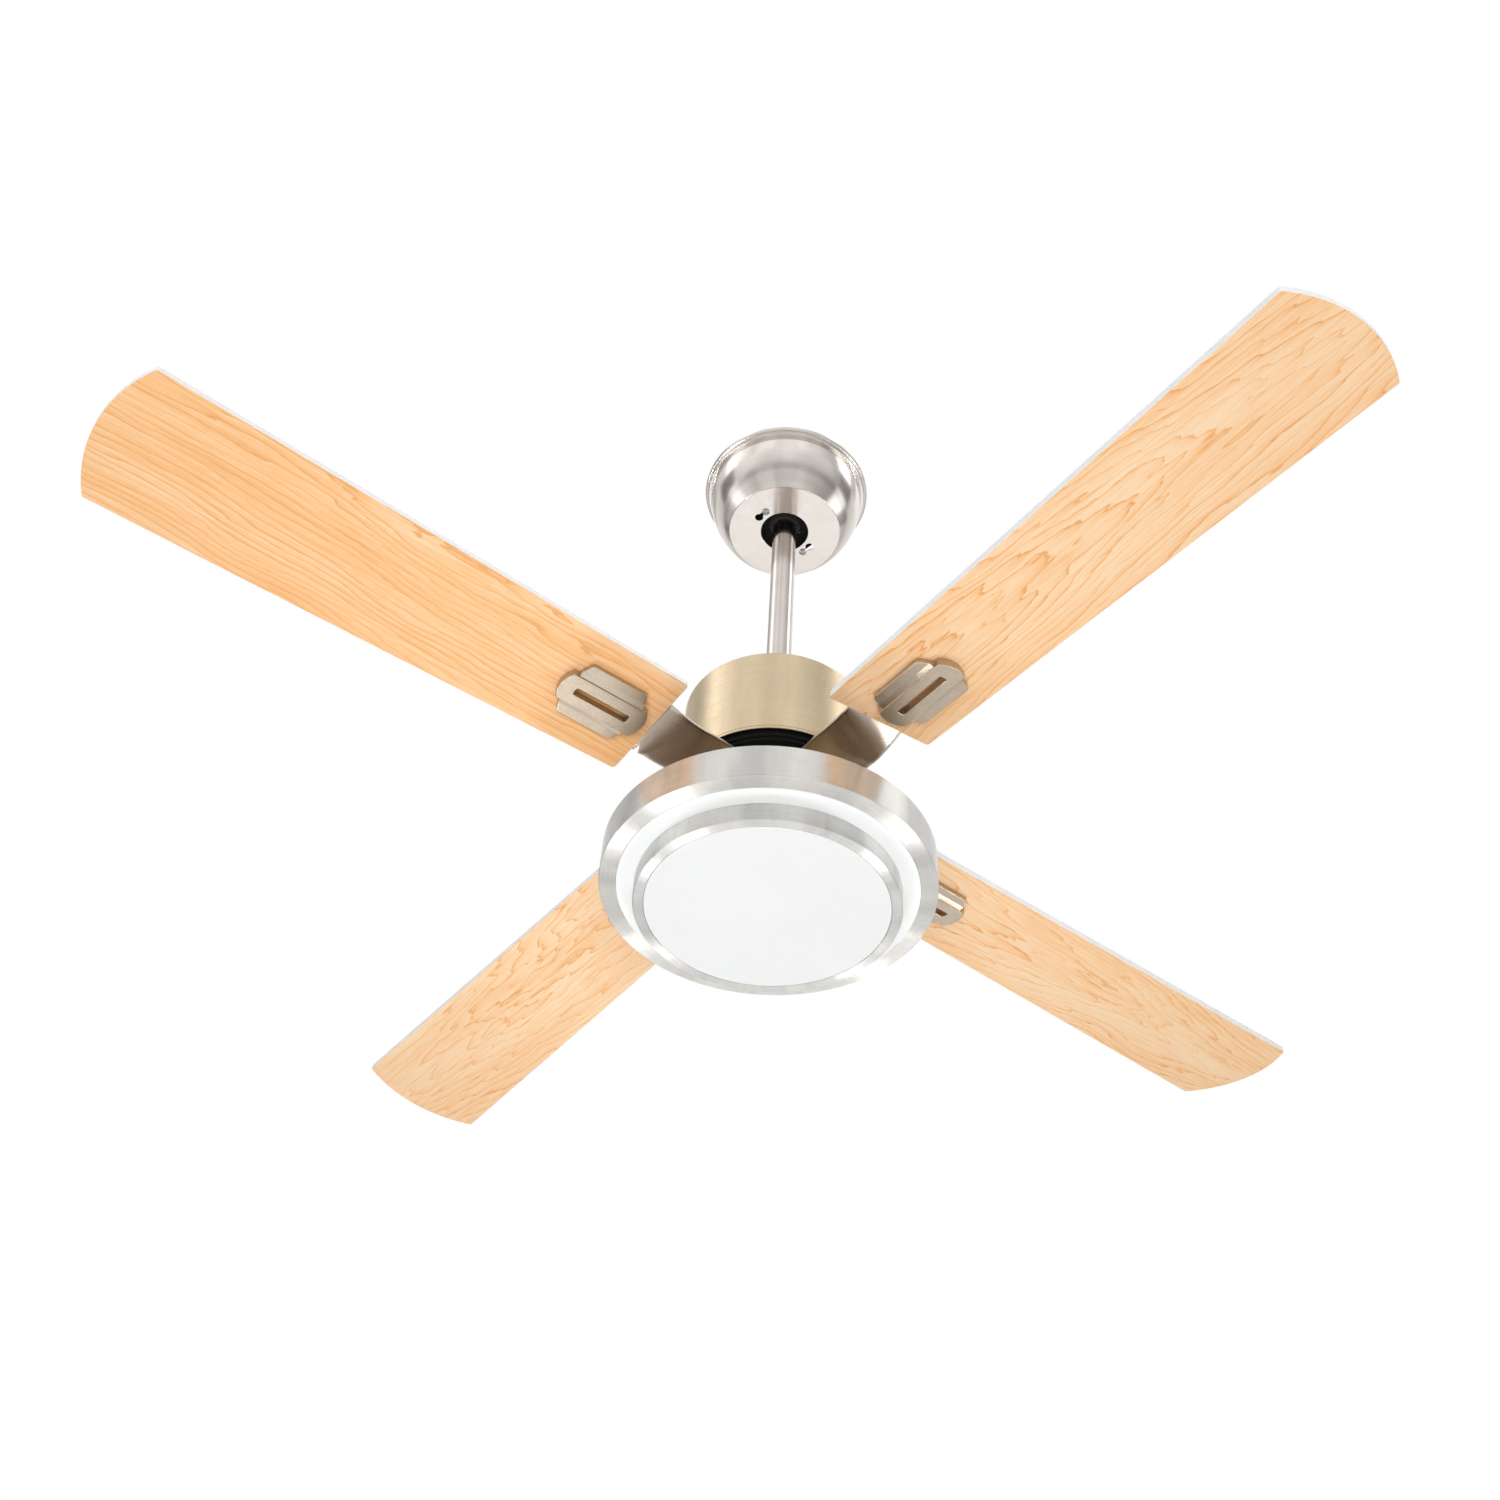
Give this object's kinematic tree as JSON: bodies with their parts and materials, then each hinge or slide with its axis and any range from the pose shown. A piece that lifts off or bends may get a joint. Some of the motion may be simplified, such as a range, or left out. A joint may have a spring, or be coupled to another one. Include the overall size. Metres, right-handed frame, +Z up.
{
  "type": "ceiling fan with light",
  "caption": "Ceiling fan with pale wood blades on a drop rod, a drum motor cover in brushed nickel and a round opal light framed by two stepped metal rings.",
  "frame": {"origin": "middle of the ceiling bracket's top face, where it meets the ceiling", "axes": "+Z up to the ceiling, the fan hangs below; the blades stand at 45 degrees to X and Y"},
  "size_m": [1.012, 1.012, 0.6088],
  "materials": {
    "satin_nickel": "satin brushed nickel plate",
    "champagne_nickel": "warm champagne nickel, brushed around the drum",
    "bronze_nickel": "darker satin nickel, brushed",
    "cast_nickel": "cast zinc with a satin nickel plate",
    "brushed_aluminium": "spun aluminium, brushed around the ring",
    "opal_acrylic": "opal white diffuser, smooth",
    "maple_laminate": "pale maple laminate with growth lines, satin",
    "black_paint": "black stove paint, satin",
    "black_cast": "cast aluminium, black paint, satin",
    "black_rubber": "black moulded rubber, matt",
    "zinc_steel": "zinc plated",
    "laminated_steel": "bare stacked steel sheets",
    "bearing_steel": "ground steel",
    "enamelled_copper": "enamelled copper wire",
    "black_plastic": "moulded plastic",
    "white_plastic": "moulded plastic"
  },
  "bodies": {
    "ceiling_mount": {"hanger_bracket": "black_paint", "canopy": "satin_nickel", "canopy_screw_1": "satin_nickel", "canopy_screw_2": "satin_nickel"},
    "hanging_body": {"hanger_ball": "black_rubber", "ball_pin": "zinc_steel", "downrod": "satin_nickel", "motor_yoke": "zinc_steel", "yoke_pin": "zinc_steel", "yoke_clip": "zinc_steel", "motor_cover": "champagne_nickel", "cover_screw_1": "satin_nickel", "cover_screw_2": "satin_nickel", "motor_shaft": "zinc_steel", "stator_core": "laminated_steel", "stator_winding": "enamelled_copper", "switch_housing": "champagne_nickel", "reverse_switch": "white_plastic", "capacitor": "black_plastic", "light_pan": "bronze_nickel", "shaft_nut": "zinc_steel", "led_board": "white_plastic", "upper_ring": "brushed_aluminium", "upper_diffuser": "opal_acrylic", "lower_ring": "brushed_aluminium", "lower_diffuser": "opal_acrylic"},
    "rotor": {"rotor_lower_shell": "black_cast", "rotor_upper_shell": "black_cast", "rotor_core": "laminated_steel", "lower_bearing": "bearing_steel", "upper_bearing": "bearing_steel", "blade_arm_1": "bronze_nickel", "blade_1": "maple_laminate", "medallion_1": "cast_nickel", "arm_screw_1_1": "zinc_steel", "arm_screw_1_2": "zinc_steel", "blade_screw_1_1": "satin_nickel", "blade_screw_1_2": "satin_nickel", "blade_arm_2": "bronze_nickel", "blade_2": "maple_laminate", "medallion_2": "cast_nickel", "arm_screw_2_1": "zinc_steel", "arm_screw_2_2": "zinc_steel", "blade_screw_2_1": "satin_nickel", "blade_screw_2_2": "satin_nickel", "blade_arm_3": "bronze_nickel", "blade_3": "maple_laminate", "medallion_3": "cast_nickel", "arm_screw_3_1": "zinc_steel", "arm_screw_3_2": "zinc_steel", "blade_screw_3_1": "satin_nickel", "blade_screw_3_2": "satin_nickel", "blade_arm_4": "bronze_nickel", "blade_4": "maple_laminate", "medallion_4": "cast_nickel", "arm_screw_4_1": "zinc_steel", "arm_screw_4_2": "zinc_steel", "blade_screw_4_1": "satin_nickel", "blade_screw_4_2": "satin_nickel"},
    "reverse_slider": {"reverse_slider": "black_plastic"}
  },
  "joints": [
    {"name": "hanger_swing", "type": "hinge", "parent": "ceiling_mount", "child": "hanging_body", "pos_m": [0, 0, -0.046], "axis": [1, 0, 0], "range_deg": [-15, 15]},
    {"name": "rotor_spin", "type": "hinge", "parent": "hanging_body", "child": "rotor", "pos_m": [0, 0, -0.47], "axis": [0, 0, 1], "continuous": true},
    {"name": "reverse_switch_slide", "type": "slide", "parent": "hanging_body", "child": "reverse_slider", "axis": [1, 0, 0], "range_m": [0, 0.006]}
  ]
}
